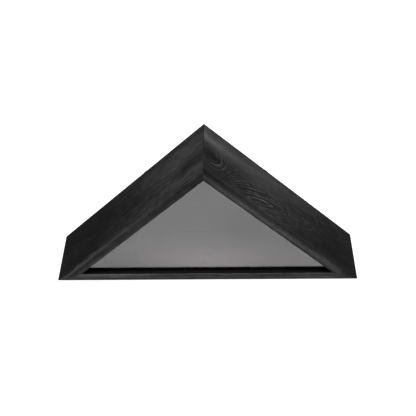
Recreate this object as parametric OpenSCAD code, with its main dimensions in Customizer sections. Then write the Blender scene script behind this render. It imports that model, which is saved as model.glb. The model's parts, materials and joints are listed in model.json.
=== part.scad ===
// Folded flag display case: a triangular shadow box of three mitred boards,
// glazed at the front, with a lift-out back held by six turn buttons.
// Millimetres. +X runs along the base, +Y from front to back, +Z up.
// The origin is the middle of the base board's underside.

/* [Case] */
// Outer width, along the base
case_w = 440; // [380:1:560]
// Angle between the base and each sloping side
side_angle = 45; // [43:0.5:47]
// Depth of the boards, from front edge to rear edge
case_d = 90; // [76:1:120]

/* [Boards] */
// Thickness of the two sloping side boards
side_t = 16.5; // [15:0.5:20]
// Thickness of the base board
base_t = 13.5; // [12.5:0.5:18]
// Radius of the eased long edges
arris_r = 1; // [0.5:0.1:1.5]

/* [Glazing] */
// Thickness of the pane
pane_t = 2; // [2:0.5:4]
// From the front edges of the boards to the face of the pane
pane_setback = 6.5; // [4:0.5:12]
// Depth of the groove that holds the pane
groove_depth = 4.5; // [3:0.5:6]
// Gap round the pane in its groove
pane_play = 0.2; // [0.1:0.05:0.5]

/* [Back] */
// Thickness of the lift-out back panel
panel_t = 3; // [2:0.5:5]
// Width of the step in the boards that the back panel sits in
rabbet_w = 4.5; // [3.5:0.5:5]
// Gap round the edge of the back panel
panel_play = 0.3; // [0.2:0.1:1]
// How far the back panel lies below the rear edges of the boards
panel_sink = 0.2; // [0.1:0.1:0.6]
// Radius of the finger notch in the foot of the back panel
notch_r = 12; // [10:0.5:16]
// Thickness of the felt lining
lining_t = 1; // [0.6:0.1:2]
// From the edge of the lining to the boards
lining_margin = 0.5; // [0.3:0.1:3]

/* [Biscuits] */
// Length of a joint biscuit, along the depth of the case
biscuit_l = 47; // [40:1:56]
// Width of a joint biscuit, across the joint
biscuit_w = 15; // [12:0.5:16]
// Thickness of a joint biscuit
biscuit_t = 4; // [3:0.5:4]
// From the inner end of a mitre to its biscuit
biscuit_from_inside = 9; // [8:0.5:10]

/* [Turn buttons] */
// Overall length of a turn button
button_l = 24; // [20:1:30]
// Width of a turn button at its pivot
button_w = 7; // [6:0.5:7.5]
// Width of a turn button at its tip
button_tip_w = 5; // [4:0.5:6]
// Thickness of a turn button's plate
button_t = 1.2; // [0.8:0.1:1.6]
// Radius of the rolled lip at a turn button's tip
button_lip_r = 1; // [0.8:0.1:1.2]
// Along a side, from the base corner to the lower pivot
button_from_corner = 84; // [70:1:100]
// Along a side, from the apex to the upper pivot
button_from_apex = 54; // [46:1:70]
// Along the base, from the middle to each pivot
button_from_middle = 84; // [50:1:110]

/* [Screws] */
// Diameter of a screw's shank
screw_d = 2.8; // [2.4:0.1:3]
// Length of a screw under its head
screw_l = 13; // [10:0.5:16]
// Diameter of a screw's head
screw_head_d = 5.4; // [4.8:0.1:5.8]
// Height of a screw's head
screw_head_h = 1.7; // [1.4:0.1:2]

/* [Hangers] */
// Along a side, from the apex to the hanger's hinge
hanger_from_apex = 120; // [100:1:150]
// Length of a hanger strap, from the hinge to its foot
strap_l = 13; // [12:0.5:20]
// Width of a hanger strap
strap_w = 8; // [7:0.5:9]
// Thickness of a hanger strap
strap_t = 0.8; // [0.6:0.1:1]
// Diameter of the ring's wire
wire_d = 1.6; // [1.4:0.1:1.8]
// Outer width of a ring
ring_w = 10.4; // [10:0.1:11]

/* [Bumpers] */
// Diameter of a wall bumper
bumper_d = 7; // [5:0.5:8]
// Height of a wall bumper
bumper_h = 4; // [3.8:0.1:6]
// From the middle of the base to each bumper
bumper_from_middle = 172; // [150:1:190]

/* [Hidden] */
$fn = 64;

// Colours
wood = [0.16, 0.16, 0.16];
beech = [0.80, 0.66, 0.47];
acrylic = [0.50, 0.49, 0.49, 0.6];
board_black = [0.09, 0.09, 0.09];
felt = [0.05, 0.05, 0.06];
steel = [0.72, 0.72, 0.70];
rubber = [0.12, 0.12, 0.12];

// Clearances
overcut = 1;          // how far a cutter runs past the face it opens
shaft_play = 0.06;    // radial gap of a turning part on its pin
seat_gap = 0.15;      // gap between a part and the face it lies on
slot_play = 0.3;      // gap round a biscuit in its slot

// The outer triangle
case_h = case_w / 2 * tan(side_angle);
side_l = case_w / 2 / cos(side_angle);
front_y = -case_d / 2;
rear_y = case_d / 2;

// The rims that are left behind the boards, outside the back panel
side_rim = side_t - rabbet_w;
base_rim = base_t - rabbet_w;
rabbet_depth = panel_t + panel_sink + seat_gap;
panel_rear = rear_y - panel_sink;

// Corners of the outer triangle moved in by s from its sides and by b from its base
function half_foot(s, b) = case_w / 2 - (b + s / cos(side_angle)) / tan(side_angle);
function apex_z(s) = case_h - s / cos(side_angle);
function triangle(s, b) = [[-half_foot(s, b), b], [half_foot(s, b), b], [0, apex_z(s)]];

// The mitre at a base corner: its outer and inner ends, at the left
mitre_out = [-case_w / 2, 0];
mitre_in = [-half_foot(side_t, base_t), base_t];
mitre_run = mitre_in - mitre_out;
mitre_angle = atan2(mitre_run[1], mitre_run[0]);
mitre_step = mitre_run / norm(mitre_run);

// Spreads an outline, drawn as X and Z, from y0 back to y1
module plate(y0, y1) {
    translate([0, y1, 0]) rotate([90, 0, 0]) linear_extrude(y1 - y0) children();
}

// Puts what is drawn along a side, from its base corner, on the left slope:
// +X runs up the slope and +Z points out of it
module on_left_slope(along) {
    translate([-case_w / 2, 0, 0]) rotate([0, -side_angle, 0]) translate([along, 0, 0]) children();
}

module mirrored() {
    mirror([1, 0, 0]) children();
}

// ---------------------------------------------------------------- boards

// What is taken off a square corner to round it; sx and sy are signs that point into the board
module corner_waste(x, y, sx, sy, r) {
    translate([x, y]) difference() {
        translate([sx * r / 2 - sx * overcut / 2, sy * r / 2 - sy * overcut / 2])
            square([r + overcut, r + overcut], center = true);
        translate([sx * r, sy * r]) circle(r);
    }
}

// Section of a board: depth along X, outer face at Y = 0
module board_section(t) {
    groove_front = front_y + pane_setback - pane_play;
    difference() {
        translate([front_y, -t]) square([case_d, t]);
        corner_waste(front_y, 0, 1, -1, arris_r);
        corner_waste(front_y, -t, 1, 1, arris_r);
        corner_waste(rear_y, 0, -1, -1, arris_r);
        translate([groove_front, -t - overcut])
            square([pane_t + 2 * pane_play, groove_depth + overcut]);
        translate([rear_y - rabbet_depth, -t - overcut])
            square([rabbet_depth + overcut, rabbet_w + overcut]);
    }
}

// A straight length of board along +X
module board_blank(length, t) {
    rotate([90, 0, 90]) linear_extrude(length) board_section(t);
}

// Holes for screws driven in from behind, along a side or the base
module pilot_hole() {
    translate([0, rear_y + overcut, 0]) rotate([90, 0, 0])
        cylinder(d = screw_d + 2 * shaft_play, h = screw_l + overcut);
}

module side_board() {
    past = side_t;
    beyond = mitre_out - mitre_step * past;
    inside = mitre_in + mitre_step;
    difference() {
        intersection() {
            on_left_slope(-past) board_blank(side_l + 2 * past, side_t);
            plate(front_y, rear_y)
                polygon([beyond, [beyond[0], case_h + past], [0, case_h + past],
                         [0, apex_z(side_t) - overcut], inside]);
        }
        for (along = side_button_places) on_left_slope(along)
            translate([0, 0, -side_rim / 2]) pilot_hole();
        on_left_slope(hanger_along - screw_from_hinge)
            translate([0, 0, -side_rim / 2]) pilot_hole();
        apex_biscuit_slot();
        left_corner_biscuit_slot();
    }
}

module left_side_board() {
    color(wood) side_board();
}

module right_side_board() {
    color(wood) mirrored() side_board();
}

module base_board() {
    past = base_t;
    beyond = mitre_out - mitre_step * past;
    inside = mitre_in + mitre_step;
    color(wood) difference() {
        intersection() {
            translate([-case_w / 2 - past, 0, 0]) mirror([0, 0, 1])
                board_blank(case_w + 2 * past, base_t);
            plate(front_y, rear_y)
                polygon([beyond, inside, [-inside[0], inside[1]], [-beyond[0], beyond[1]]]);
        }
        for (x = [-button_from_middle, button_from_middle])
            translate([x, 0, base_rim / 2]) pilot_hole();
        left_corner_biscuit_slot();
        mirrored() left_corner_biscuit_slot();
    }
}

// ---------------------------------------------------------------- biscuits

// A lens of pressed beech: long along Y, its width across the joint
module biscuit(length, width, t) {
    bow_r = (pow(length / 2, 2) + pow(width / 2, 2)) / width;
    translate([0, 0, -t / 2]) linear_extrude(t) intersection() {
        translate([bow_r - width / 2, 0]) circle(bow_r, $fn = 180);
        translate([width / 2 - bow_r, 0]) circle(bow_r, $fn = 180);
    }
}

module biscuit_slot() {
    biscuit(biscuit_l + 4 * slot_play, biscuit_w + 2 * slot_play, biscuit_t + slot_play);
}

module at_apex_mitre() {
    translate([0, 0, apex_z(side_t) + biscuit_from_inside]) children();
}

module at_left_mitre() {
    place = mitre_in - mitre_step * biscuit_from_inside;
    translate([place[0], 0, place[1]]) rotate([0, -90 - mitre_angle, 0]) children();
}

module apex_biscuit_slot() {
    at_apex_mitre() biscuit_slot();
}

module left_corner_biscuit_slot() {
    at_left_mitre() biscuit_slot();
}

module apex_biscuit() {
    color(beech) at_apex_mitre() biscuit(biscuit_l, biscuit_w, biscuit_t);
}

module left_corner_biscuit() {
    color(beech) at_left_mitre() biscuit(biscuit_l, biscuit_w, biscuit_t);
}

module right_corner_biscuit() {
    color(beech) mirrored() at_left_mitre() biscuit(biscuit_l, biscuit_w, biscuit_t);
}

// ---------------------------------------------------------------- pane and back

module front_pane() {
    s = side_t - groove_depth + pane_play;
    b = base_t - groove_depth + pane_play;
    face = front_y + pane_setback;
    color(acrylic) plate(face, face + pane_t) polygon(triangle(s, b));
}

// The notch in its foot stops at the felt, which runs across it
module back_panel() {
    foot = base_rim + panel_play;
    color(board_black) plate(panel_rear - panel_t, panel_rear) difference() {
        polygon(triangle(side_rim + panel_play, foot));
        translate([0, foot]) circle(notch_r);
    }
}

module back_lining() {
    face = panel_rear - panel_t;
    color(felt) plate(face - lining_t, face)
        polygon(triangle(side_t + lining_margin, base_t + lining_margin));
}

// ---------------------------------------------------------------- screws

// Where a screw head bears, measured back from the rear edges of the boards
button_seat = seat_gap + button_t + seat_gap;
strap_seat = strap_t;

cross_l = screw_head_d * 0.6;    // arms of the cross recess, end to end
cross_w = screw_head_d * 0.16;   // width of an arm
dome_r = screw_head_d;           // crown of the head
tip_l = screw_d;                 // length of the point

// A pan head screw driven forwards; its head bears at the given height behind the boards
module screw(seat) {
    translate([0, rear_y + seat, 0]) rotate([-90, 0, 0]) {
        difference() {
            intersection() {
                cylinder(d = screw_head_d, h = screw_head_h);
                translate([0, 0, screw_head_h - dome_r]) sphere(dome_r);
            }
            for (turn = [0, 90]) rotate(turn)
                translate([0, 0, screw_head_h]) cube([cross_l, cross_w, screw_head_h], center = true);
        }
        translate([0, 0, tip_l - screw_l]) cylinder(d = screw_d, h = screw_l - tip_l);
        translate([0, 0, -screw_l]) cylinder(d1 = screw_d / 4, d2 = screw_d, h = tip_l);
    }
}

// ---------------------------------------------------------------- turn buttons

side_button_places = [button_from_corner, side_l - button_from_apex];

// A stamped steel button with its pivot at the origin and its rolled tip towards +X
module turn_button() {
    lip_x = button_l - button_w / 2 - button_lip_r;
    translate([0, rear_y + seat_gap, 0]) difference() {
        union() {
            rotate([-90, 0, 0]) cylinder(d = button_w, h = button_t);
            plate(0, button_t)
                polygon([[0, -button_w / 2], [lip_x, -button_tip_w / 2],
                         [lip_x, button_tip_w / 2], [0, button_w / 2]]);
            translate([lip_x, button_lip_r, -button_tip_w / 2])
                cylinder(r = button_lip_r, h = button_tip_w);
        }
        rotate([-90, 0, 0]) translate([0, 0, -overcut])
            cylinder(d = screw_d + 2 * shaft_play, h = button_t + 2 * overcut);
    }
}

// At rest each button lies along its board, so that the back panel is free
module left_button(along) {
    color(steel) on_left_slope(along) translate([0, 0, -side_rim / 2])
        mirror([1, 0, 0]) turn_button();
}

module base_button(x) {
    color(steel) translate([x, 0, base_rim / 2]) turn_button();
}

module turn_button_screws() {
    color(steel) {
        for (along = side_button_places) {
            on_left_slope(along) translate([0, 0, -side_rim / 2]) screw(button_seat);
            mirrored() on_left_slope(along) translate([0, 0, -side_rim / 2]) screw(button_seat);
        }
        for (x = [-button_from_middle, button_from_middle])
            translate([x, 0, base_rim / 2]) screw(button_seat);
    }
}

// ---------------------------------------------------------------- hangers

hanger_along = side_l - hanger_from_apex;
bend_r = (ring_w - wire_d) / 2;                        // of the ring's round end
screw_from_hinge = bend_r + wire_d / 2;                // down the slope
hinge_r = wire_d / 2 + shaft_play + strap_t;           // outside of the strap's rolled eye
hinge_y = rear_y + hinge_r;
eye_w = ring_w - 2 * wire_d - 4 * seat_gap;

module at_left_hanger() {
    on_left_slope(hanger_along) translate([0, 0, -side_rim / 2]) children();
}

// A steel strap screwed to the board, rolled into an eye round the ring
module strap() {
    difference() {
        union() {
            translate([-strap_l, rear_y, -strap_w / 2])
                cube([strap_l - hinge_r, strap_t, strap_w]);
            translate([-hinge_r - overcut, rear_y, -eye_w / 2])
                cube([hinge_r + overcut, strap_t, eye_w]);
            translate([0, hinge_y, -eye_w / 2]) cylinder(r = hinge_r, h = eye_w);
        }
        translate([0, hinge_y, -strap_w])
            cylinder(d = wire_d + 2 * shaft_play, h = 2 * strap_w);
        translate([-screw_from_hinge, rear_y + strap_t + overcut, 0]) rotate([90, 0, 0])
            cylinder(d = screw_d + 2 * shaft_play, h = strap_t + 2 * overcut);
    }
}

// A D-shaped wire ring that hangs down the slope, round the head of the strap's screw
module ring() {
    translate([0, hinge_y, 0]) {
        translate([0, 0, -bend_r]) cylinder(d = wire_d, h = 2 * bend_r);
        for (z = [-bend_r, bend_r]) {
            translate([0, 0, z]) sphere(d = wire_d);
            translate([-screw_from_hinge, 0, z]) rotate([0, 90, 0])
                cylinder(d = wire_d, h = screw_from_hinge);
        }
        translate([-screw_from_hinge, 0, 0]) rotate([90, 90, 0])
            rotate_extrude(angle = -180) translate([bend_r, 0]) circle(d = wire_d);
    }
}

module left_hanger_strap() {
    color(steel) at_left_hanger() strap();
}

module right_hanger_strap() {
    color(steel) mirrored() at_left_hanger() strap();
}

module left_hanger_ring() {
    color(steel) at_left_hanger() ring();
}

module right_hanger_ring() {
    color(steel) mirrored() at_left_hanger() ring();
}

module hanger_screws() {
    color(steel) {
        at_left_hanger() translate([-screw_from_hinge, 0, 0]) screw(strap_seat);
        mirrored() at_left_hanger() translate([-screw_from_hinge, 0, 0]) screw(strap_seat);
    }
}

// ---------------------------------------------------------------- bumpers

// Moulded feet with tapered tips, glued to the rear edge of the base board
module wall_bumpers() {
    tip_d = bumper_d * 0.75;
    color(rubber) for (x = [-bumper_from_middle, bumper_from_middle])
        translate([x, rear_y, base_rim / 2]) rotate([-90, 0, 0]) {
            cylinder(d = bumper_d, h = bumper_h / 2);
            translate([0, 0, bumper_h / 2]) cylinder(d1 = bumper_d, d2 = tip_d, h = bumper_h / 2);
        }
}

// ---------------------------------------------------------------- output

left_side_board();
right_side_board();
base_board();
apex_biscuit();
left_corner_biscuit();
right_corner_biscuit();
front_pane();
back_panel();
back_lining();
left_button(side_button_places[1]);  // turn_button_left_upper
left_button(side_button_places[0]);  // turn_button_left_lower
mirrored() left_button(side_button_places[1]);  // turn_button_right_upper
mirrored() left_button(side_button_places[0]);  // turn_button_right_lower
mirrored() base_button(button_from_middle);  // turn_button_base_left
base_button(button_from_middle);  // turn_button_base_right
turn_button_screws();
left_hanger_strap();
right_hanger_strap();
left_hanger_ring();
right_hanger_ring();
hanger_screws();
wall_bumpers();
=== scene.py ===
import json
import math

import bmesh
import bpy
from mathutils import Matrix, Vector


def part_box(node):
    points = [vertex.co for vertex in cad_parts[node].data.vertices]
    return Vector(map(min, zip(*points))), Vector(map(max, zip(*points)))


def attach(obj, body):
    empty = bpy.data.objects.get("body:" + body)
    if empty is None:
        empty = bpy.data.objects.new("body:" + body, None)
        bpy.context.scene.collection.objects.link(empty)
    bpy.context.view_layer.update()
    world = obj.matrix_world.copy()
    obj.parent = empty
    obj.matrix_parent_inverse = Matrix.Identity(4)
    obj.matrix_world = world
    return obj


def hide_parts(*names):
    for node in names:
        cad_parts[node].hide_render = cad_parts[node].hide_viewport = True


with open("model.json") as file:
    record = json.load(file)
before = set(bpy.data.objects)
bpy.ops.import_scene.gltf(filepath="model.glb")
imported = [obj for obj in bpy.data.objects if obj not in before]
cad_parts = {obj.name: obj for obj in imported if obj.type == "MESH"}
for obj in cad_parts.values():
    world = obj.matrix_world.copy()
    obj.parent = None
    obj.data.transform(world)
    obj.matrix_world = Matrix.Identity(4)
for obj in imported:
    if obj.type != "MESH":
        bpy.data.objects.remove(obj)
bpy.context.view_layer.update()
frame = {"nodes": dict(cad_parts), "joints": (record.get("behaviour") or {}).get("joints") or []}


# ---------------------------------------------------------------- camera
# A camera stands in front of the case and a little to its right, and looks down on it
# at about 45 degrees. Its distance and lens are those of a small product studio.
aim = Vector((0.0, 0.0, 0.1))
camera_turn = math.radians(1.950)
camera_height_angle = math.radians(44.686)
camera_roll = math.radians(-1.835)
camera_distance = 1.1024
camera_slide = Vector((0.0033, 0.0025, 0.0))
camera_view_angle = math.radians(29.985)

to_camera = Vector((math.sin(camera_turn) * math.cos(camera_height_angle),
                    -math.cos(camera_turn) * math.cos(camera_height_angle),
                    math.sin(camera_height_angle)))
level_right = Vector((0, 0, 1)).cross(to_camera).normalized()
level_up = to_camera.cross(level_right)
right = math.cos(camera_roll) * level_right + math.sin(camera_roll) * level_up
up = to_camera.cross(right)
stand = aim + camera_distance * to_camera + camera_slide.x * right + camera_slide.y * up

camera_data = bpy.data.cameras.new("camera")
camera_data.sensor_width = 36.0
camera_data.angle = camera_view_angle
camera = bpy.data.objects.new("camera", camera_data)
bpy.context.scene.collection.objects.link(camera)
turned = Matrix((right, up, to_camera)).transposed().to_4x4()
camera.matrix_world = Matrix.Translation(stand) @ turned
bpy.context.scene.camera = camera


# ---------------------------------------------------------------- sloping side boards
# Two boards of open-grained hardwood, planed, mitred and glued at the apex, stained black
# and rubbed with a little satin wax. Inside, behind the eased front edges, they are painted
# flat black. The right board has a knot near the apex and tall arches; the left is plainer.
mm = 0.001
half_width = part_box("base_board")[1].x
case_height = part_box("left_side_board")[1].z
half_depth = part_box("base_board")[1].y
side_thickness = 16.5 * mm
base_thickness = 13.5 * mm
slope = math.atan2(case_height, half_width)


def add_node(tree, kind, links=None, **settings):
    """Adds a node; settings are its properties, and links sets its inputs by name or place."""
    node = tree.nodes.new(kind)
    for name, value in settings.items():
        setattr(node, name, value)
    for socket, value in (links or {}).items():
        if isinstance(value, bpy.types.NodeSocket):
            tree.links.new(value, node.inputs[socket])
        else:
            node.inputs[socket].default_value = value
    return node


def new_group(name, inputs, outputs):
    """A shader node group, and what it is given and gives back, by name.

    inputs holds (name, kind, default) and outputs (name, kind).
    """
    group = bpy.data.node_groups.new(name, "ShaderNodeTree")
    for label, kind, default in inputs:
        socket = group.interface.new_socket(label, in_out="INPUT", socket_type="NodeSocket" + kind)
        if default is not None:
            socket.default_value = default
    for label, kind in outputs:
        group.interface.new_socket(label, in_out="OUTPUT", socket_type="NodeSocket" + kind)
    given = group.nodes.new("NodeGroupInput").outputs
    result = group.nodes.new("NodeGroupOutput").inputs
    return group, given, result


def use_group(tree, group, vector, values):
    """Places a group, feeds its Vector and sets its other inputs by name."""
    return add_node(tree, "ShaderNodeGroup", {"Vector": vector, **values}, node_tree=group)


def maths(tree, operation, first, second=0.0, third=0.0, clamp=False):
    """The result of one Math node."""
    return add_node(tree, "ShaderNodeMath", {0: first, 1: second, 2: third},
                    operation=operation, use_clamp=clamp).outputs[0]


def vector_maths(tree, operation, links):
    """The outputs of one Vector Math node."""
    return add_node(tree, "ShaderNodeVectorMath", links, operation=operation).outputs


def split(tree, vector):
    """The X, Y and Z of a vector."""
    return add_node(tree, "ShaderNodeSeparateXYZ", {0: vector}).outputs


def combine(tree, x, y, z=0.0):
    """A vector of three values."""
    return add_node(tree, "ShaderNodeCombineXYZ", {0: x, 1: y, 2: z}).outputs[0]


def ramp_between(tree, value, low, high, out_low=0.0, out_high=1.0):
    """A soft step of value between low and high."""
    return add_node(tree, "ShaderNodeMapRange",
                    {0: value, 1: low, 2: high, 3: out_low, 4: out_high},
                    interpolation_type="SMOOTHSTEP").outputs[0]


def noise(tree, vector, stretch, detail=2.0, roughness=0.5, seed=0.0):
    """A noise with its own scale along each axis; outputs are its value and its colour."""
    placed = add_node(tree, "ShaderNodeMapping",
                      {0: vector, 1: (seed, seed * 0.7, seed * 1.3), 3: stretch}).outputs[0]
    return add_node(tree, "ShaderNodeTexNoise",
                    {"Vector": placed, "Scale": 1.0, "Detail": detail,
                     "Roughness": roughness}).outputs


def mix_colour(tree, factor, first, second):
    """A colour between first and second, or beyond second where the factor is above 1."""
    return add_node(tree, "ShaderNodeMix", {0: factor, 6: first, 7: second}, data_type="RGBA",
                    clamp_factor=False).outputs[2]


def grey(value, warm=0.0):
    """A grey of this value, tinted warm where warm is above 0."""
    return (value * (1 + warm), value, value * (1 - warm), 1.0)


def new_material(name):
    """A material with its tree and shader, and the object's own coordinates in mm."""
    material = bpy.data.materials.new(name)
    material.use_nodes = True
    tree = material.node_tree
    place = add_node(tree, "ShaderNodeTexCoord").outputs["Object"]
    in_mm = vector_maths(tree, "MULTIPLY", {0: place, 1: (1 / mm,) * 3})[0]
    return material, tree, tree.nodes["Principled BSDF"], in_mm


def set_bump(tree, shader, height, strength, distance):
    """Feeds a height to the shader's normal; distance is in metres."""
    bump = add_node(tree, "ShaderNodeBump",
                    {"Height": height, "Strength": strength, "Distance": distance})
    tree.links.new(bump.outputs[0], shader.inputs["Normal"])


def make_grain_group():
    """Growth rings cut by the board. X runs along the grain, Z out of the outer face, in mm."""
    group, given, result = new_group(
        "wood_grain",
        [("Vector", "Vector", None), ("Heart Depth", "Float", 10.0), ("Heart Rise", "Float", 0.1),
         ("Heart Offset", "Float", 0.0), ("Heart Drift", "Float", 0.0),
         ("Ring Width", "Float", 4.0), ("Waviness", "Float", 3.0), ("Swell", "Float", 0.0),
         ("Seed", "Float", 0.0)],
        [("Late Wood", "Float"), ("Pores", "Float"), ("Fibre", "Float"), ("Cloud", "Float"),
         ("Mottle", "Float")])
    seed = combine(group, given["Seed"], given["Seed"])
    shifted = vector_maths(group, "ADD", {0: given["Vector"], 1: seed})[0]
    sway = add_node(group, "ShaderNodeSeparateColor",
                    {0: noise(group, shifted, (0.02, 0.05, 0.05), 2.0)[1]}).outputs
    sway_across = maths(group, "SUBTRACT", sway[0], 0.5)
    sway_deep = maths(group, "SUBTRACT", sway[1], 0.5)
    place = split(group, given["Vector"])
    heart = maths(group, "MULTIPLY_ADD", place[0], given["Heart Drift"], given["Heart Offset"])
    across = maths(group, "SUBTRACT", place[1], heart)
    across = maths(group, "MULTIPLY_ADD", sway_across, given["Waviness"], across)
    deep = maths(group, "MULTIPLY_ADD", place[0], given["Heart Rise"], given["Heart Depth"])
    deep = maths(group, "ADD", deep, place[2])
    deep = maths(group, "MULTIPLY_ADD", sway_deep, given["Waviness"], deep)
    radius = maths(group, "SQRT", maths(group, "ADD", maths(group, "MULTIPLY", across, across),
                                        maths(group, "MULTIPLY", deep, deep)))
    radius = maths(group, "ADD", radius, given["Swell"])
    years = add_node(group, "ShaderNodeTexNoise", {"W": radius, "Scale": 0.11, "Detail": 1.0},
                     noise_dimensions="1D").outputs["Fac"]
    ring = maths(group, "DIVIDE", radius, given["Ring Width"])
    phase = maths(group, "FRACT", maths(group, "MULTIPLY_ADD", years, 1.5, ring))
    late = maths(group, "MULTIPLY", ramp_between(group, phase, 0.5, 0.8),
                 ramp_between(group, phase, 0.84, 1.0, 1.0, 0.0))
    dashes = noise(group, shifted, (0.12, 2.6, 2.6), 2.0, seed=7.0)[0]
    pores = maths(group, "MULTIPLY", ramp_between(group, dashes, 0.56, 0.68),
                  maths(group, "SUBTRACT", 1.0, late))
    fibre = noise(group, shifted, (0.05, 1.0, 1.0), 4.0, 0.6)[0]
    cloud = noise(group, shifted, (0.014, 0.04, 0.04), 3.0, seed=31.0)[0]
    mottle = noise(group, shifted, (0.06, 0.16, 0.16), 3.0, 0.6, seed=53.0)[0]
    for label, value in (("Late Wood", late), ("Pores", pores), ("Fibre", fibre),
                         ("Cloud", cloud), ("Mottle", mottle)):
        group.links.new(value, result[label])
    return group


def make_patch_group():
    """A soft-edged oval on a board, in mm: paler or darker stain, painted light or shade, or
    shinier wax.
    """
    group, given, result = new_group(
        "soft_oval_patch",
        [("Vector", "Vector", None), ("Along", "Float", 0.0), ("Across", "Float", 0.0),
         ("Height", "Float", 0.0), ("Length", "Float", 50.0), ("Width", "Float", 20.0),
         ("Thickness", "Float", 1000.0), ("Raggedness", "Float", 1.0)],
        [("Mask", "Float")])
    middle = combine(group, given["Along"], given["Across"], given["Height"])
    reach = combine(group, given["Length"], given["Width"], given["Thickness"])
    away = vector_maths(group, "SUBTRACT", {0: given["Vector"], 1: middle})[0]
    away = vector_maths(group, "DIVIDE", {0: away, 1: reach})[0]
    drift = noise(group, given["Vector"], (0.03, 0.08, 0.08), 3.0, seed=11.0)[1]
    ragged = vector_maths(group, "ADD", {0: drift, 1: (-0.5, -0.5, -0.5)})[0]
    ragged = vector_maths(group, "SCALE", {0: ragged, "Scale": given["Raggedness"]})[0]
    away = vector_maths(group, "MULTIPLY_ADD", {0: ragged, 1: (0.7, 0.9, 0.9), 2: away})[0]
    square = vector_maths(group, "DOT_PRODUCT", {0: away, 1: away})["Value"]
    mask = maths(group, "EXPONENT", maths(group, "MULTIPLY", square, -1.0))
    group.links.new(mask, result["Mask"])
    return group


def make_edge_group():
    """Where the two front edges of a board are paler, in mm: stain rubbed thin, and a painted
    highlight.
    """
    group, given, result = new_group(
        "rubbed_and_highlit_edges",
        [("Vector", "Vector", None), ("Thickness", "Float", 16.0), ("Half Depth", "Float", 44.0),
         ("Reach", "Float", 1.3)],
        [("Mask", "Float")])
    place = split(group, given["Vector"])
    from_front = maths(group, "ADD", place[1], given["Half Depth"])
    from_inner = maths(group, "ADD", place[2], given["Thickness"])
    distances = [vector_maths(group, "LENGTH", {0: combine(group, from_front, height)})["Value"]
                 for height in (place[2], from_inner)]
    nearest = maths(group, "MINIMUM", distances[0], distances[1])
    uneven = noise(group, given["Vector"], (0.06, 0.3, 0.3), 3.0)[0]
    reach = maths(group, "MULTIPLY", given["Reach"], ramp_between(group, uneven, 0.3, 0.7, 0.5, 1.4))
    closeness = maths(group, "SUBTRACT", 1.0, maths(group, "DIVIDE", nearest, reach), clamp=True)
    group.links.new(closeness, result["Mask"])
    return group


def make_joint_group():
    """A hairline along a glued mitre, a plane through the object in mm, that fades along Y."""
    group, given, result = new_group(
        "joint_line",
        [("Vector", "Vector", None), ("Normal", "Vector", None), ("Offset", "Float", 0.0),
         ("Half Width", "Float", 0.5), ("Fade From", "Float", -1000.0),
         ("Fade To", "Float", -900.0)],
        [("Mask", "Float")])
    along = vector_maths(group, "DOT_PRODUCT", {0: given["Vector"], 1: given["Normal"]})["Value"]
    away = maths(group, "ABSOLUTE", maths(group, "SUBTRACT", along, given["Offset"]))
    away = maths(group, "DIVIDE", away, given["Half Width"])
    mask = maths(group, "SUBTRACT", 1.0, away, clamp=True)
    from_middle = split(group, given["Vector"])[1]
    shown = ramp_between(group, from_middle, given["Fade From"], given["Fade To"])
    group.links.new(maths(group, "MULTIPLY", mask, shown), result["Mask"])
    return group


grain_group = make_grain_group()
patch_group = make_patch_group()
edge_group = make_edge_group()
joint_group = make_joint_group()

stain_dark = grey(0.003)
stain_pale = grey(0.080)
inner_paint = grey(0.0125)


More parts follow.
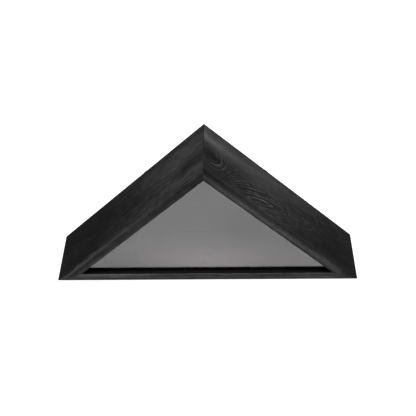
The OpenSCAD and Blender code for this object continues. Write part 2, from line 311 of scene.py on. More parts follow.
def stained_wood(name, turn, shift, thickness, grain, mitres, tone, paleness, clouding, rings,
                 ring_ovals=(), knots=(), stain_and_light_patches=(), sheens=()):
    """Black-stained wood. turn and shift bring the board's outer face to Z = 0, grain along X.

    tone is how pale the stain is from 0 to 1, and between boards also painted light or shade.
    paleness is how pale the front edges are, where the stain is rubbed thin and a highlight is
    painted on them; clouding is how blotchy the stain lies, and rings how strongly the growth
    rings show. grain and the lists set inputs of the node groups; the lists hold (amount, inputs)
    for mitres, and for ovals where the rings show more, where a knot pushes them apart, where
    the stain is paler or darker or light and shade are painted in, and where the wax is shinier.
    """
    material, tree, shader, in_mm = new_material(name)
    board = add_node(tree, "ShaderNodeMapping",
                     {0: in_mm, 1: shift / mm, 2: (0, turn, 0)}).outputs[0]

    def add_masks(value, group, vector, masks):
        for amount, inputs in masks:
            mask = use_group(tree, group, vector, inputs).outputs["Mask"]
            value = maths(tree, "MULTIPLY_ADD", mask, amount, value)
        return value

    fibre_contrast = 0.22
    pore_darkening = 0.12
    deepest_stain = 0.02
    ridge_height = 0.2 * mm
    swell = add_masks(0.0, patch_group, board, knots)
    lines = use_group(tree, grain_group, board, {**grain, "Swell": swell}).outputs
    late = maths(tree, "MULTIPLY", lines["Late Wood"],
                 ramp_between(tree, lines["Mottle"], 0.25, 0.7, 0.3, 1.0))
    ring_relief = maths(tree, "MULTIPLY", late, add_masks(rings, patch_group, board, ring_ovals))
    value = maths(tree, "MULTIPLY_ADD", lines["Fibre"], fibre_contrast, tone - fibre_contrast / 2)
    for blotch in ("Cloud", "Mottle"):
        unevenness = maths(tree, "SUBTRACT", lines[blotch], 0.5)
        value = maths(tree, "MULTIPLY_ADD", unevenness, clouding, value)
    value = maths(tree, "ADD", value, ring_relief)
    # Patches of paler or darker stain, among them a painted sheen, painted highlights and painted
    # shade.
    value = add_masks(value, patch_group, board, stain_and_light_patches)
    value = maths(tree, "MULTIPLY_ADD", lines["Pores"], -pore_darkening, value)
    # Paler front edges: the stain rubbed thin there, and a painted highlight along them.
    value = add_masks(value, edge_group, board,
                      [(paleness, {"Thickness": thickness / mm, "Half Depth": half_depth / mm})])
    value = add_masks(value, joint_group, in_mm, mitres)
    value = maths(tree, "MAXIMUM", value, deepest_stain)
    colour = mix_colour(tree, maths(tree, "MULTIPLY", value, value), stain_dark, stain_pale)
    inner_face = -thickness / mm
    inside = ramp_between(tree, split(tree, board)[2], inner_face + 0.25, inner_face + 0.05)
    tree.links.new(mix_colour(tree, inside, colour, inner_paint), shader.inputs["Base Color"])

    rough = maths(tree, "MULTIPLY_ADD", lines["Fibre"], 0.16, 0.5)
    rough = maths(tree, "MULTIPLY_ADD", lines["Pores"], 0.15, rough)
    rough = maths(tree, "MULTIPLY_ADD", inside, 0.25, rough, clamp=True)
    tree.links.new(rough, shader.inputs["Roughness"])
    if sheens:
        tree.links.new(add_masks(0.0, patch_group, board, sheens), shader.inputs["Coat Weight"])
    shader.inputs["Coat Roughness"].default_value = 0.35
    shader.inputs["Specular IOR Level"].default_value = 0.02
    relief = maths(tree, "MULTIPLY", ring_relief, 0.5)
    relief = maths(tree, "MULTIPLY_ADD", lines["Pores"], -1.0, relief)
    relief = maths(tree, "MULTIPLY_ADD", lines["Fibre"], 0.5, relief)
    set_bump(tree, shader, relief, 0.35, ridge_height)
    return material


def oval(amount, along, across, length, width, height=0.0, thickness=1000.0, raggedness=1.0):
    """One entry for the lists of stained_wood: an amount, and an oval's middle and reach in mm."""
    return amount, {"Along": along, "Across": across, "Height": height, "Length": length,
                    "Width": width, "Thickness": thickness, "Raggedness": raggedness}


def front_oval(amount, along, height, length, thickness, width=2):
    """An oval on a board's front edge; height counts down from the outer face."""
    return oval(amount, along, -half_depth / mm, length, width, height, thickness)


def dress(node, material):
    """Gives a CAD node its finish."""
    frame["nodes"][node].material_slots[0].material = material


inner_corner = Vector((half_width - base_thickness - side_thickness * math.sqrt(2), 0,
                       base_thickness))
foot_run = Vector((half_width, 0, 0)) - inner_corner
foot_normal_right = Vector((-foot_run.z, 0, foot_run.x)).normalized()
foot_normal_left = Vector((-foot_normal_right.x, 0, foot_normal_right.z))
foot_offset = foot_normal_right.x * half_width / mm
slope_shift = half_width * math.sin(slope)
apex_joint = (-0.40, {"Normal": (1, 0, 0), "Offset": 0.0, "Half Width": 0.8,
                      "Fade From": -20.0, "Fade To": 25.0})
right_joint = (-0.25, {"Normal": foot_normal_right, "Offset": foot_offset})
left_joint = (-0.25, {"Normal": foot_normal_left, "Offset": foot_offset})

# The tones differ between the boards partly as stain and partly as painted light: the left board is
# darker and the base board paler than the right one, as the light falls on them.
right_wood = stained_wood(
    "stained_wood_right", -slope, Vector((slope_shift, 0, -slope_shift)), side_thickness,
    {"Heart Depth": -21.2, "Heart Rise": 0.20, "Heart Offset": -68.6, "Heart Drift": 0.36,
     "Ring Width": 4.8, "Waviness": 6.0, "Seed": 3.0},
    [apex_joint, right_joint], tone=0.47, paleness=0.10, clouding=0.35, rings=0.05,
    ring_ovals=[oval(0.70, along=104, across=-24, length=40, width=16, thickness=12),
                oval(0.50, along=28, across=-20, length=32, width=16, thickness=12),
                oval(0.15, along=205, across=-4, length=40, width=9, thickness=12),
                front_oval(-0.30, along=110, height=-8, length=90, thickness=8)],
    knots=[oval(30.0, along=22, across=-21, length=28, width=26, raggedness=0.25),
           oval(8.0, along=182, across=-9, length=10, width=6),
           oval(10.0, along=209, across=-4, length=10, width=7),
           oval(6.0, along=240, across=-2, length=10, width=5)],
    # The pale patches near the apex and along the rear edge are a painted sheen, the large dark one
    # at the foot is painted shade, and the pale bands on the front face are painted highlights; the
    # rest are stain lying unevenly.
    stain_and_light_patches=[oval(0.14, along=10, across=24, length=110, width=22),
             oval(0.28, along=19, across=21, length=25, width=7),
             oval(0.12, along=3, across=24, length=4, width=14),
             oval(0.18, along=175, across=36, length=105, width=20),
             oval(0.10, along=125, across=2, length=50, width=12),
             oval(-0.18, along=20, across=-24, length=50, width=24),
             oval(-0.15, along=16, across=-9, length=34, width=9, raggedness=0.5),
             oval(-0.10, along=90, across=-24, length=45, width=18),
             oval(0.10, along=85, across=-41, length=45, width=8),
             oval(-0.12, along=215, across=-38, length=50, width=15),
             oval(-0.24, along=315, across=-8, length=95, width=70),
             front_oval(0.16, along=140, height=-3, length=240, thickness=5),
             front_oval(0.16, along=200, height=-7.5, length=55, thickness=4),
             front_oval(0.66, along=140, height=-11.2, length=280, thickness=4.6, width=5),
             front_oval(0.30, along=255, height=-6, length=45, thickness=4, width=3)],
    sheens=[oval(0.25, along=0, across=26, length=120, width=24)])
left_wood = stained_wood(
    "stained_wood_left", slope, Vector((-slope_shift, 0, -slope_shift)), side_thickness,
    {"Heart Depth": 40.0, "Heart Rise": 0.03, "Heart Offset": -60.0, "Ring Width": 3.0,
     "Waviness": 12.0, "Seed": 60.0},
    [apex_joint, left_joint], tone=0.36, paleness=0.20, clouding=0.50, rings=0.12,
    # The pale patch near the apex is painted light, the pale band by the front edge near the apex a
    # painted highlight, the large dark one at the foot painted shade, and the pale bands on the
    # front face painted highlights; the small dark one is stain lying unevenly.
    stain_and_light_patches=[oval(0.16, along=-30, across=14, length=110, width=40),
             oval(-0.16, along=-28, across=-17, length=28, width=10),
             oval(0.24, along=-55, across=-36, length=65, width=9, thickness=8),
             oval(-0.26, along=-280, across=-5, length=125, width=70),
             front_oval(0.25, along=-150, height=-9, length=200, thickness=8),
             front_oval(0.32, along=-275, height=-9, length=70, thickness=9),
             front_oval(0.38, along=-210, height=-3, length=260, thickness=2.2),
             front_oval(0.30, along=-262, height=-3, length=45, thickness=3.5),
             front_oval(0.26, along=-150, height=-14.5, length=85, thickness=3),
             front_oval(0.36, along=-255, height=-14.5, length=55, thickness=2.6)],
    sheens=[oval(0.12, along=-10, across=10, length=90, width=30)])
dress("right_side_board", right_wood)
dress("left_side_board", left_wood)


# ---------------------------------------------------------------- base board
# The same wood, thinner, glued between the feet of the side boards in long mitres.
# The flag rests on it, so its upper face is painted flat black as well.
# Its paler tone paints in the light on its front face.
base_wood = stained_wood(
    "stained_wood_base", math.pi, Vector((0, 0, 0)), base_thickness,
    {"Heart Depth": 30.0, "Heart Rise": 0.01, "Heart Offset": 20.0, "Ring Width": 3.2,
     "Waviness": 6.0, "Seed": 110.0},
    [right_joint, left_joint], tone=0.77, paleness=0.60, clouding=0.40, rings=0.25,
    # These pale bands on the front face paint in a highlight below its top front edge and a paler
    # streak across its middle.
    stain_and_light_patches=[front_oval(0.27, along=140, height=-6, length=90, thickness=2, width=6),
             front_oval(0.46, along=140, height=-11, length=70, thickness=2.6, width=6),
             front_oval(0.12, along=-150, height=-5, length=80, thickness=4, width=6)])
dress("base_board", base_wood)


# ---------------------------------------------------------------- joint biscuits
# Lens-shaped plates of beech, pressed flat in a die that leaves a fine cross-hatch, glued
# into slots across the three mitres. They swell in the glue, and nothing shows of them.
def make_biscuit_wood():
    """Beech with short flecks, and two crossed sets of ridges pressed into it."""
    material, tree, shader, in_mm = new_material("biscuit_wood")
    hatch_pitch = 1.6
    flecks = noise(tree, in_mm, (0.9, 0.12, 0.9), 3.0)[0]
    place = split(tree, in_mm)
    across = maths(tree, "ADD", place[0], place[2])
    ridges = []
    for sign in (1, -1):
        slant = maths(tree, "MULTIPLY_ADD", place[1], sign, across)
        angle = maths(tree, "MULTIPLY", slant, 2 * math.pi / hatch_pitch)
        ridges.append(maths(tree, "SINE", angle))
    tree.links.new(mix_colour(tree, ramp_between(tree, flecks, 0.35, 0.7), (0.62, 0.40, 0.20, 1),
                              (0.42, 0.24, 0.11, 1)), shader.inputs["Base Color"])
    tree.links.new(maths(tree, "MULTIPLY_ADD", flecks, 0.2, 0.6), shader.inputs["Roughness"])
    set_bump(tree, shader, maths(tree, "MAXIMUM", ridges[0], ridges[1]), 0.5, 0.1 * mm)
    return material


biscuit_wood = make_biscuit_wood()
for joint in ("apex", "left_corner", "right_corner"):
    dress(joint + "_biscuit", biscuit_wood)


# ---------------------------------------------------------------- front pane
# A clear acrylic sheet slid into grooves in all three boards before they were glued.
# It is flat and glossy, so it mirrors the table in front of the case.
acrylic = bpy.data.materials.new("acrylic")
acrylic.use_nodes = True
for socket, value in (("Base Color", grey(0.92)), ("Transmission Weight", 1.0), ("IOR", 1.85),
                      ("Roughness", 0.02)):
    acrylic.node_tree.nodes["Principled BSDF"].inputs[socket].default_value = value
dress("front_pane", acrylic)


# ---------------------------------------------------------------- back panel and lining
# Thin hardboard with black paint rolled on it and raw brown edges, and short black felt
# glued to its inner face. It drops into a step in the rear edges of the boards, and the
# felt runs on across the finger notch in its foot.
def make_panel_board():
    """Hardboard: rolled black paint on both faces, brown fibres on the sawn edges."""
    material, tree, shader, in_mm = new_material("panel_board")
    stipple = noise(tree, in_mm, (0.9, 0.9, 0.9), 3.0)[0]
    paleness = noise(tree, in_mm, (0.02, 0.02, 0.02), 4.0, 0.6, seed=5.0)[0]
    fibres = noise(tree, in_mm, (1.5, 6.0, 1.5), 3.0, 0.7, seed=9.0)[0]
    normal = add_node(tree, "ShaderNodeTexCoord").outputs["Normal"]
    facing = maths(tree, "ABSOLUTE", split(tree, normal)[1])
    painted = ramp_between(tree, facing, 0.4, 0.6)
    paint = mix_colour(tree, ramp_between(tree, paleness, 0.4, 0.7), grey(0.010), grey(0.019, 0.04))
    raw = mix_colour(tree, fibres, (0.075, 0.040, 0.020, 1), (0.160, 0.090, 0.048, 1))
    tree.links.new(mix_colour(tree, painted, raw, paint), shader.inputs["Base Color"])
    tree.links.new(maths(tree, "MULTIPLY_ADD", stipple, 0.25, 0.5), shader.inputs["Roughness"])
    shader.inputs["Specular IOR Level"].default_value = 0.3
    set_bump(tree, shader, stipple, 0.5, 0.15 * mm)
    return material


def make_felt():
    """Black felt with a short nap, unevenly pressed."""
    material, tree, shader, in_mm = new_material("lining_felt")
    nap = noise(tree, in_mm, (2.2, 2.2, 2.2), 4.0, 0.7)[0]
    pressed = noise(tree, in_mm, (0.03, 0.03, 0.03), 3.0, seed=17.0)[0]
    shade = maths(tree, "MULTIPLY_ADD", pressed, 0.5, maths(tree, "MULTIPLY", nap, 0.6), clamp=True)
    tree.links.new(mix_colour(tree, shade, grey(0.0025), grey(0.0075)),
                   shader.inputs["Base Color"])
    shader.inputs["Roughness"].default_value = 0.95
    shader.inputs["Specular IOR Level"].default_value = 0.05
    set_bump(tree, shader, nap, 0.8, 0.3 * mm)
    return material


def start_piece(name, primitive, **settings):
    """Deselects everything, adds a primitive, names it and goes into edit mode."""
    bpy.ops.object.select_all(action="DESELECT")
    primitive(**settings)
    piece = bpy.context.object
    piece.name = name
    bpy.ops.object.transform_apply(location=True, rotation=True, scale=True)
    bpy.ops.object.mode_set(mode="EDIT")
    return piece


def apply_modifier(piece, kind, **settings):
    """Adds one modifier with its settings and applies it."""
    bpy.context.view_layer.objects.active = piece
    modifier = piece.modifiers.new(kind.lower(), kind)
    for name, value in settings.items():
        setattr(modifier, name, value)
    bpy.ops.object.modifier_apply(modifier=modifier.name)


def finish_piece(piece, edge, cutter=None):
    """Leaves edit mode, takes the cutter out, breaks the sharp edges and smooths the rest."""
    bpy.ops.mesh.select_all(action="SELECT")
    bpy.ops.mesh.remove_doubles(threshold=0.001 * mm)
    bpy.ops.mesh.normals_make_consistent(inside=False)
    bpy.ops.object.mode_set(mode="OBJECT")
    if cutter:
        apply_modifier(piece, "BOOLEAN", object=cutter, operation="DIFFERENCE", solver="EXACT")
        bpy.data.objects.remove(cutter)
    apply_modifier(piece, "BEVEL", width=edge, segments=2, limit_method="ANGLE",
                   angle_limit=math.radians(32), harden_normals=False)
    bpy.ops.object.select_all(action="DESELECT")
    piece.select_set(True)
    bpy.ops.object.shade_smooth_by_angle(angle=math.radians(32))


def make_lining():
    """Felt cut to a triangle that fills the CAD lining's box, its cut edges pressed round."""
    low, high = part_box("back_lining")
    width, thickness, height = high - low
    lining = start_piece("felt_lining", bpy.ops.mesh.primitive_cylinder_add, vertices=3,
                         radius=1.0, depth=1.0, rotation=(math.pi / 2, 0, 0),
                         scale=(width / math.sqrt(3), height / 1.5, thickness),
                         location=(0, (low.y + high.y) / 2, low.z + height / 3))
    finish_piece(lining, 0.35 * mm)
    lining.data.materials.append(make_felt())
    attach(lining, "back")
    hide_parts("back_lining")


dress("back_panel", make_panel_board())
make_lining()


# ---------------------------------------------------------------- turn buttons
# Six steel stampings, each a tapered plate with a pressed rib and a rolled tip, that
# pivot on screws in the rear edges of the boards. Turned inwards they hold the back in.
button_length = 24.0 * mm
button_width = 7.0 * mm
button_tip_width = 5.0 * mm
button_thickness = 1.2 * mm
button_bead = 1.0 * mm
rib_start = 4.6 * mm
rib_end = 16.6 * mm
rib_margin = 1.3 * mm
rib_slope = 0.45 * mm
rib_height = 0.45 * mm
screw_shank = 2.8 * mm
pivot_play = 0.06 * mm


def choose(kind, test):
    """In edit mode, selects only the verts, edges or faces whose middle passes the test."""
    bpy.ops.mesh.select_mode(type=kind)
    bpy.ops.mesh.select_all(action="DESELECT")
    shape = bmesh.from_edit_mesh(bpy.context.object.data)
    for part in {"VERT": shape.verts, "EDGE": shape.edges, "FACE": shape.faces}[kind]:
        if kind == "VERT":
            part.select_set(test(part.co))
        elif kind == "EDGE":
            first, second = (vert.co for vert in part.verts)
            part.select_set(test((first + second) / 2, (second - first).normalized()))
        else:
            part.select_set(test(part.calc_center_median(), part.normal))
    bmesh.update_edit_mesh(bpy.context.object.data)


def cut_across(point, normal):
    """Cuts the whole mesh along a plane without taking anything away."""
    bpy.ops.mesh.select_all(action="SELECT")
    bpy.ops.mesh.bisect(plane_co=point, plane_no=normal)


def round_cutter(name, radius, low, high):
    """A round bar along Z, to be taken out of a piece."""
    cutter = start_piece(name, bpy.ops.mesh.primitive_cylinder_add, vertices=32, radius=radius,
                         depth=high - low, location=(0, 0, (low + high) / 2))
    bpy.ops.object.mode_set(mode="OBJECT")
    return cutter


def make_button():
    """A turn button with its pivot at the origin, its tip towards +X and its back on Z = 0."""
    pivot_end = button_width / 2
    bead_middle = button_length - pivot_end - button_bead
    first_turn = math.asin(button_thickness / button_bead - 1)
    bead_start = bead_middle - button_bead * math.cos(first_turn)
    hole = round_cutter("pivot_hole", screw_shank / 2 + pivot_play, -button_thickness,
                        2 * button_thickness)
    button = start_piece("turn_button", bpy.ops.mesh.primitive_cube_add, size=1.0,
                         location=((bead_start - pivot_end) / 2, 0, button_thickness / 2),
                         scale=(bead_start + pivot_end, button_width, button_thickness))
    cut_across((0, 0, 0), (1, 0, 0))
    choose("VERT", lambda place: place.x > bead_start - 0.01 * mm)
    bpy.ops.transform.resize(value=(1, button_tip_width / button_width, 1),
                             center_override=(0, 0, 0))
    cut_across((rib_start, 0, 0), (1, 0, 0))
    cut_across((rib_end, 0, 0), (1, 0, 0))
    choose("EDGE", lambda place, way: place.x < -0.9 * pivot_end and abs(way.z) > 0.9)
    bpy.ops.mesh.bevel(offset=pivot_end * 0.999, segments=12, affect="EDGES")
    choose("FACE", lambda place, normal: normal.z > 0.9 and rib_start < place.x < rib_end)
    bpy.ops.mesh.inset(thickness=rib_margin)
    bpy.ops.mesh.inset(thickness=rib_slope)
    bpy.ops.transform.translate(value=(0, 0, rib_height))
    choose("FACE", lambda place, normal: normal.x > 0.9 and place.x > bead_start - 0.01 * mm)
    bead_steps = 10
    previous = (bead_start, 0.0, button_thickness)
    for step in range(1, bead_steps):
        angle = first_turn + (math.pi - first_turn) * step / bead_steps
        along = bead_middle - button_bead * math.cos(angle)
        top = button_bead * (1 + math.sin(angle))
        bottom = button_bead * (1 - math.sin(angle)) if angle > math.pi / 2 else 0.0
        bpy.ops.mesh.extrude_region_move(TRANSFORM_OT_translate={"value": (
            along - previous[0], 0, (top + bottom - previous[1] - previous[2]) / 2)})
        bpy.ops.transform.resize(value=(1, 1, (top - bottom) / (previous[2] - previous[1])),
                                 center_override=(0, 0, (top + bottom) / 2))
        previous = (along, bottom, top)
    finish_piece(button, 0.12 * mm, hole)
    return button


def make_plated_steel():
    """Bright nickel plate over steel, with fine brushing and clouded handling marks."""
    material, tree, shader, in_mm = new_material("plated_steel")
    cloud = noise(tree, in_mm, (0.25, 0.25, 0.25), 4.0, 0.6)[0]
    scratches = noise(tree, in_mm, (1.2, 6.0, 6.0), 3.0, 0.6, seed=3.0)[0]
    tree.links.new(mix_colour(tree, ramp_between(tree, cloud, 0.3, 0.7), grey(0.33, 0.01),
                              grey(0.60, 0.02)), shader.inputs["Base Color"])
    shader.inputs["Metallic"].default_value = 1.0
    rough = maths(tree, "MULTIPLY_ADD", cloud, 0.25, 0.12)
    rough = maths(tree, "MULTIPLY_ADD", scratches, 0.16, rough)
    tree.links.new(rough, shader.inputs["Roughness"])
    set_bump(tree, shader, scratches, 0.15, 0.05 * mm)
    return material


def copy_piece(master, name, matrix):
    """A copy with its own mesh, put in place for good."""
    copy = master.copy()
    copy.data = master.data.copy()
    copy.name = name
    bpy.context.scene.collection.objects.link(copy)
    copy.data.transform(matrix)
    return copy


def standing_back(place, along):
    """The matrix that puts a fitting's X along a board and its Z rearwards, at a place."""
    along = Vector(along).normalized()
    rearwards = Vector((0, 1, 0))
    across = rearwards.cross(along)
    return Matrix.Translation(place) @ Matrix((along, across, rearwards)).transposed().to_4x4()


plated_steel = make_plated_steel()
button_master = make_button()
button_master.data.materials.append(plated_steel)
pivots = {}
for joint in frame["joints"]:
    if joint["name"].endswith("button_turn"):
        node = joint["child"]
        low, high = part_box(node)
        pivot = Vector(joint["pos_m"])
        pivot.y = low.y
        towards_tip = (low + high) / 2 - pivot
        towards_tip.y = 0
        button = copy_piece(button_master, node + "_stamping", standing_back(pivot, towards_tip))
        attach(button, node)
        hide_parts(node)
        pivots[node] = pivot
bpy.data.objects.remove(button_master)


# ---------------------------------------------------------------- screws
# Pan head screws of plated steel with a cross recess: six are the pivots of the turn
# buttons, and two hold the hanger straps. They go straight into the edges of the boards.
head_radius = 2.7 * mm
head_height = 1.7 * mm
screw_length = 13.0 * mm
recess_width = 0.86 * mm
recess_reach = 0.62 * head_radius
recess_floor_share = 0.62
dome_steps = (0.93, 0.8, 0.62, 0.4, 0.18)
first_recess_turn = 0.5
next_recess_turn = 1.9


def extrude_tapered(rise, share):
    """Extrudes the chosen face along Z and scales its end round the Z axis."""
    bpy.ops.mesh.extrude_region_move(TRANSFORM_OT_translate={"value": (0, 0, rise)})
    bpy.ops.transform.resize(value=(share, share, 1), center_override=(0, 0, 0))


def make_screw():
    """A screw along Z with the underside of its head at Z = 0."""
    dome_radius = 2 * head_radius
    cross = start_piece("cross_recess", bpy.ops.mesh.primitive_cube_add, size=recess_width,
                        location=(0, 0, head_height - 0.35 * recess_width), scale=(1, 1, 1.9))
    choose("FACE", lambda place, normal: abs(normal.z) < 0.1)
    bpy.ops.mesh.extrude_faces_move(
        TRANSFORM_OT_shrink_fatten={"value": recess_reach - recess_width / 2})
    choose("VERT", lambda place: place.z < head_height - 0.5 * recess_width)
    bpy.ops.transform.resize(value=(recess_floor_share, recess_floor_share, 1),
                             center_override=(0, 0, 0))
    bpy.ops.mesh.select_all(action="SELECT")
    bpy.ops.mesh.normals_make_consistent(inside=False)
    bpy.ops.object.mode_set(mode="OBJECT")

    def dome_height(radius):
        return head_height - dome_radius + math.sqrt(dome_radius ** 2 - radius ** 2)

    rim = dome_height(head_radius)
    screw = start_piece("screw", bpy.ops.mesh.primitive_cylinder_add, vertices=32,
                        radius=head_radius, depth=rim, location=(0, 0, rim / 2))
    choose("FACE", lambda place, normal: normal.z > 0.9)
    radius = head_radius
    for share in dome_steps:
        rise = dome_height(share * head_radius) - dome_height(radius)
        extrude_tapered(rise, share * head_radius / radius)
        radius = share * head_radius
    choose("FACE", lambda place, normal: normal.z < -0.9)
    bpy.ops.mesh.inset(thickness=head_radius - screw_shank / 2)
    extrude_tapered(screw_shank - screw_length, 1)
    extrude_tapered(-screw_shank, 0.25)
    finish_piece(screw, 0.08 * mm, cross)
    return screw


def place_screw(name, place, turn, node):
    """Drives a screw forwards at a place, with its recess left at any turn."""
    recess_way = (math.cos(turn), 0, math.sin(turn))
    piece = copy_piece(screw_master, name, standing_back(place, recess_way))
    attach(piece, "case")
    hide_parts(node)


screw_master = make_screw()
screw_master.data.materials.append(plated_steel)
button_gap = 0.15 * mm
button_screw_seat = half_depth + button_gap + button_thickness + button_gap
for number, (node, pivot) in enumerate(sorted(pivots.items())):
    place_screw(node.replace("turn_button", "pivot_screw"), (pivot.x, button_screw_seat, pivot.z),
                first_recess_turn + next_recess_turn * number, "turn_button_screws")


# ---------------------------------------------------------------- hangers
# On each side board a small strap of plated steel, screwed down and rolled into an eye,
# holds a D-shaped wire ring that swings on it. The case hangs from the two rings.
strap_length = 13.0 * mm
strap_width = 8.0 * mm
strap_thickness = 0.8 * mm
wire_radius = 0.8 * mm
bend_radius = 4.4 * mm
eye_width = 6.6 * mm
ring_corner = 1.5 * mm
screw_from_hinge = bend_radius + wire_radius
eye_radius = wire_radius + pivot_play + strap_thickness
eye_roll = math.radians(310)
strap_shoulder = 0.4 * mm
strap_corner = 2.4 * mm
hanger_recess_turns = {"left": 0.3, "right": 1.2}


def make_strap():
    """A strap with its hinge over the origin, its foot towards +X and its back on Z = 0."""
    hole = round_cutter("strap_hole", screw_shank / 2 + pivot_play, -strap_thickness,
                        2 * strap_thickness)
    hole.data.transform(Matrix.Translation((screw_from_hinge, 0, 0)))
    strap = start_piece("hanger_strap", bpy.ops.mesh.primitive_cube_add, size=1.0,
                        location=(strap_length / 2, 0, strap_thickness / 2),
                        scale=(strap_length, strap_width, strap_thickness))
    cut_across((eye_radius, 0, 0), (1, 0, 0))
    cut_across((eye_radius + strap_shoulder, 0, 0), (1, 0, 0))
    choose("VERT", lambda place: place.x < eye_radius + strap_shoulder / 4)
    bpy.ops.transform.resize(value=(1, eye_width / strap_width, 1), center_override=(0, 0, 0))
    choose("EDGE", lambda place, way: place.x > 0.99 * strap_length and abs(way.z) > 0.9)
    bpy.ops.mesh.bevel(offset=strap_corner, segments=8, affect="EDGES")
    choose("FACE", lambda place, normal: normal.x < -0.9 and place.x < 0.01 * mm)
    bpy.ops.mesh.spin(steps=16, angle=-eye_roll, center=(0, 0, eye_radius), axis=(0, 1, 0))
    finish_piece(strap, 0.1 * mm, hole)
    return strap


def make_ring():
    """A D ring of round wire, its straight bar on the Y axis and its bow towards +X."""
    straight = bend_radius - ring_corner
    reach = screw_from_hinge - ring_corner
    up = (0, 0, 1)
    ring = start_piece("hanger_ring", bpy.ops.mesh.primitive_circle_add, vertices=16,
                       radius=wire_radius, rotation=(math.pi / 2, 0, 0))
    bpy.ops.mesh.select_all(action="SELECT")

    def run(x, y):
        bpy.ops.mesh.extrude_region_move(TRANSFORM_OT_translate={"value": (x, y, 0)})

    def turn(x, y, degrees, steps):
        bpy.ops.mesh.spin(steps=steps, angle=math.radians(degrees), center=(x, y, 0), axis=up)

    run(0, straight)
    turn(ring_corner, straight, 90, 6)
    run(reach, 0)
    turn(screw_from_hinge, 0, 180, 20)
    run(-reach, 0)
    turn(ring_corner, -straight, 90, 6)
    run(0, straight)
    finish_piece(ring, 0.02 * mm)
    return ring


strap_master = make_strap()
strap_master.data.materials.append(plated_steel)
ring_master = make_ring()
ring_master.data.materials.append(plated_steel)
for joint in frame["joints"]:
    if joint["name"].endswith("ring_swing"):
        side = joint["name"].split("_")[0]
        hinge = Vector(joint["pos_m"])
        low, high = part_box(joint["child"])
        down_slope = (low + high) / 2 - hinge
        down_slope.y = 0
        down_slope.normalize()
        seat = Vector((hinge.x, half_depth, hinge.z))
        strap = copy_piece(strap_master, side + "_hanger_plate", standing_back(seat, down_slope))
        ring = copy_piece(ring_master, side + "_hanger_wire", standing_back(hinge, down_slope))
        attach(strap, "case")
        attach(ring, joint["child"])
        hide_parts(side + "_hanger_strap")
        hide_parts(side + "_hanger_ring")
        screw_place = seat + screw_from_hinge * down_slope + Vector((0, strap_thickness, 0))
        place_screw(side + "_hanger_screw", screw_place, hanger_recess_turns[side],
                    "hanger_screws")
for master in (strap_master, ring_master, screw_master):
    bpy.data.objects.remove(master)


# ---------------------------------------------------------------- wall bumpers
# Two moulded feet of black rubber, glued to the rear edge of the base board, that keep
# the case off the wall. Each has a tapered side, a rounded lip and a dimple in its tip.
bumper_radius = 3.5 * mm
bumper_height = 4.0 * mm
straight_foot = 0.1
bumper_profile = ((1.0, 0.46), (0.985, 0.5), (0.82, 0.93), (0.78, 0.98), (0.72, 1.0),
                  (0.45, 1.0), (0.38, 0.95), (0.2, 0.93))


def make_bumper():
    """A bumper standing on Z = 0 with its tip towards +Z.

    straight_foot is a share of the height, and bumper_profile holds shares of the radius and
    of the height.
    """
    bumper = start_piece("wall_bumper", bpy.ops.mesh.primitive_cylinder_add, vertices=40,
                         radius=bumper_radius, depth=straight_foot * bumper_height,
                         location=(0, 0, straight_foot * bumper_height / 2))
    choose("FACE", lambda place, normal: normal.z > 0.9)
    previous = (1.0, straight_foot)
    for across, height in bumper_profile:
        extrude_tapered((height - previous[1]) * bumper_height, across / previous[0])
        previous = (across, height)
    finish_piece(bumper, 0.08 * mm)
    return bumper


def make_rubber():
    """Black moulded rubber with a grained skin and a faint bloom."""
    material, tree, shader, in_mm = new_material("bumper_rubber")
    bloom = noise(tree, in_mm, (0.4, 0.4, 0.4), 4.0, 0.6)[0]
    skin = noise(tree, in_mm, (5.0, 5.0, 5.0), 2.0)[0]
    tree.links.new(mix_colour(tree, ramp_between(tree, bloom, 0.35, 0.75), grey(0.011),
                              grey(0.026)), shader.inputs["Base Color"])
    tree.links.new(maths(tree, "MULTIPLY_ADD", bloom, 0.2, 0.6), shader.inputs["Roughness"])
    set_bump(tree, shader, skin, 0.3, 0.05 * mm)
    return material


bumper_master = make_bumper()
bumper_master.data.materials.append(make_rubber())
low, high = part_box("wall_bumpers")
for side, middle in (("left", low.x + bumper_radius), ("right", high.x - bumper_radius)):
    bumper = copy_piece(bumper_master, side + "_wall_bumper",
                        standing_back((middle, low.y, (low.z + high.z) / 2), (1, 0, 0)))
    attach(bumper, "case")
    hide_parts("wall_bumpers")
bpy.data.objects.remove(bumper_master)


# ---------------------------------------------------------------- table and light
# A plain white table top in a pale room, with one soft lamp over the apex. To mirrored and
# refracted rays the top also glows: a painted reflection, with a painted pool of light in front
# of the case and three painted darker places beside it, which the pane shows.
painted_mirror_glow = 0.225
painted_mirror_tint = (1.0, 0.925, 0.935, 1.0)
painted_light_pools = (((0.0, -0.05, 0.0), (0.1, 0.05, 1.0), 0.54),
               ((0.062, -0.132, 0.0), (0.045, 0.04, 1.0), -0.13),
               ((0.120, -0.102, 0.0), (0.03, 0.03, 1.0), -0.11),
               ((-0.160, -0.075, 0.0), (0.04, 0.035, 1.0), -0.12))
camera_glow = 0.6
lamp_place = Vector((0.04, -0.03, 0.85))


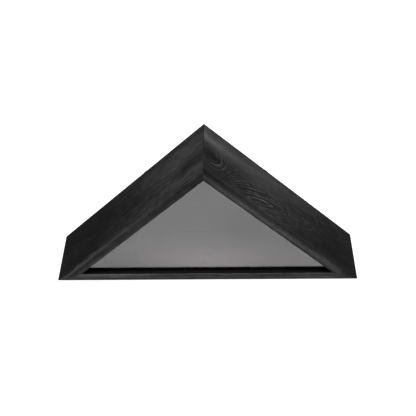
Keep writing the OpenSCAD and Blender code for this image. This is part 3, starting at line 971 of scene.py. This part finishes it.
def make_floor():
    """The table top: matt white to the camera, with a painted glow of its own only in mirrors."""
    bpy.ops.object.select_all(action="DESELECT")
    bpy.ops.mesh.primitive_plane_add(size=8.0, location=(0, 0, -0.2 * mm))
    floor = bpy.context.object
    floor.name = "table_top"
    bpy.ops.object.transform_apply(location=True, rotation=True, scale=True)
    material = bpy.data.materials.new("white_table")
    material.use_nodes = True
    tree = material.node_tree
    shader = tree.nodes["Principled BSDF"]
    shader.inputs["Base Color"].default_value = grey(0.8)
    shader.inputs["Roughness"].default_value = 0.9
    shader.inputs["Specular IOR Level"].default_value = 0.1
    place = add_node(tree, "ShaderNodeTexCoord").outputs["Object"]
    painted_glow = painted_mirror_glow
    for middle, reach, glow in painted_light_pools:
        away = add_node(tree, "ShaderNodeMapping", {0: place, 1: middle, 3: reach},
                        vector_type="TEXTURE").outputs[0]
        square = vector_maths(tree, "DOT_PRODUCT", {0: away, 1: away})["Value"]
        pool = maths(tree, "EXPONENT", maths(tree, "MULTIPLY", square, -1.0))
        painted_glow = maths(tree, "MULTIPLY_ADD", pool, glow, painted_glow)
    path = add_node(tree, "ShaderNodeLightPath").outputs
    mirrored = maths(tree, "MAXIMUM", path["Is Glossy Ray"], path["Is Transmission Ray"])
    strength = maths(tree, "MULTIPLY_ADD", path["Is Camera Ray"], camera_glow,
                     maths(tree, "MULTIPLY", mirrored, painted_glow))
    tree.links.new(mix_colour(tree, mirrored, grey(1.0), painted_mirror_tint),
                   shader.inputs["Emission Color"])
    tree.links.new(strength, shader.inputs["Emission Strength"])
    floor.data.materials.append(material)


make_floor()
lamp = bpy.data.lights.new("overhead", "AREA")
lamp.shape = "SQUARE"
lamp.size = 0.4
lamp.energy = 6.0
holder = bpy.data.objects.new("overhead", lamp)
bpy.context.scene.collection.objects.link(holder)
holder.location = lamp_place
holder.rotation_euler = (-lamp_place).to_track_quat("-Z", "Y").to_euler()

world = bpy.data.worlds.new("room")
world.use_nodes = True
seen = add_node(world.node_tree, "ShaderNodeLightPath").outputs["Is Camera Ray"]
world.node_tree.links.new(mix_colour(world.node_tree, seen, grey(0.4), grey(1.0)),
                          world.node_tree.nodes["Background"].inputs["Color"])
bpy.context.scene.world = world
bpy.context.scene.view_settings.view_transform = "Standard"
